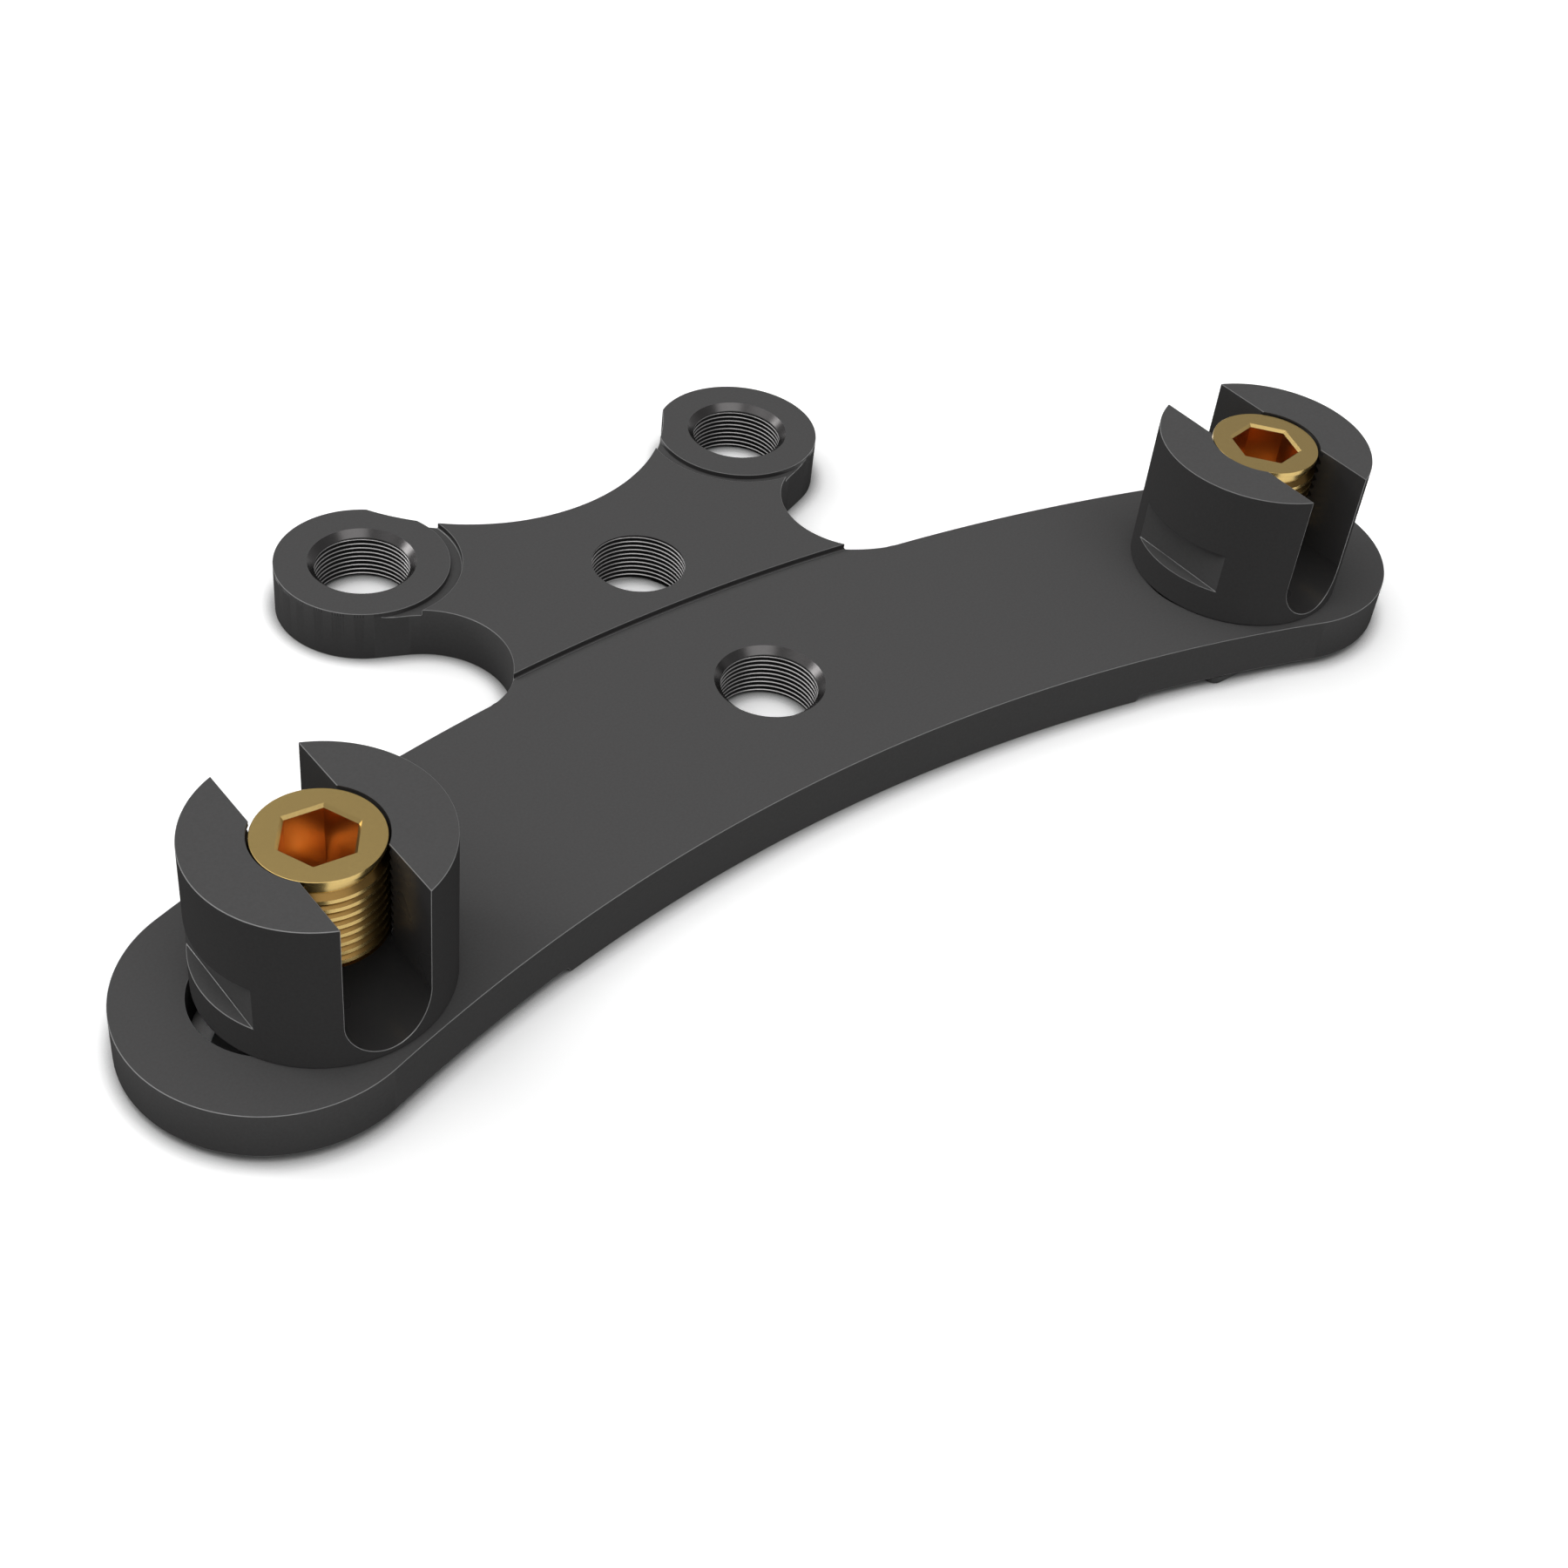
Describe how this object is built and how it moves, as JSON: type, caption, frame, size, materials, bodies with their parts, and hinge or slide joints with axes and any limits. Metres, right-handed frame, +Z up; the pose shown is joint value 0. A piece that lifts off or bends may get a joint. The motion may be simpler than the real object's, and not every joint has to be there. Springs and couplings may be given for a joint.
{
  "type": "occipital fixation plate",
  "caption": "Curved bone plate with a neck, lobes and threaded screw holes, and slotted rod heads that slide and swivel on its arms and lock by socket set screws.",
  "frame": {"origin": "centre of the bounding box at its lowest level, below the plate's middle", "axes": "+X from one rod head to the other, +Y from the crescent towards the lobes, +Z up through the rod heads; the plate lies on its bone side"},
  "size_m": [0.0664, 0.0314, 0.0096],
  "materials": {
    "plate": "dark grey anodised titanium, fine blasted",
    "slider_left": "dark grey anodised titanium, fine blasted",
    "slider_right": "dark grey anodised titanium, fine blasted",
    "head_left": "dark grey anodised titanium, fine blasted",
    "head_right": "dark grey anodised titanium, fine blasted",
    "set_screw_left": "gold anodised titanium, satin",
    "set_screw_right": "gold anodised titanium, satin"
  },
  "bodies": {
    "plate": {"plate": "plate"},
    "slider_left": {"slider_left": "slider_left"},
    "slider_right": {"slider_right": "slider_right"},
    "head_left": {"head_left": "head_left"},
    "head_right": {"head_right": "head_right"},
    "set_screw_left": {"set_screw_left": "set_screw_left"},
    "set_screw_right": {"set_screw_right": "set_screw_right"}
  },
  "joints": [
    {"name": "left_slide", "type": "slide", "parent": "plate", "child": "slider_left", "axis": [1, 0, 0], "range_m": [-0.0017, 0.0013]},
    {"name": "left_swivel", "type": "hinge", "parent": "slider_left", "child": "head_left", "pos_m": [-0.025, -0.00973, 0], "axis": [0, 0, 1], "continuous": true},
    {"name": "left_screw_turn", "type": "hinge", "parent": "head_left", "child": "set_screw_left", "pos_m": [-0.025, -0.00973, 0], "axis": [0, 0, 1], "continuous": true},
    {"name": "right_slide", "type": "slide", "parent": "plate", "child": "slider_right", "axis": [1, 0, 0], "range_m": [-0.0013, 0.0017]},
    {"name": "right_swivel", "type": "hinge", "parent": "slider_right", "child": "head_right", "pos_m": [0.025, -0.00973, 0], "axis": [0, 0, 1], "continuous": true},
    {"name": "right_screw_turn", "type": "hinge", "parent": "head_right", "child": "set_screw_right", "pos_m": [0.025, -0.00973, 0], "axis": [0, 0, 1], "continuous": true}
  ]
}
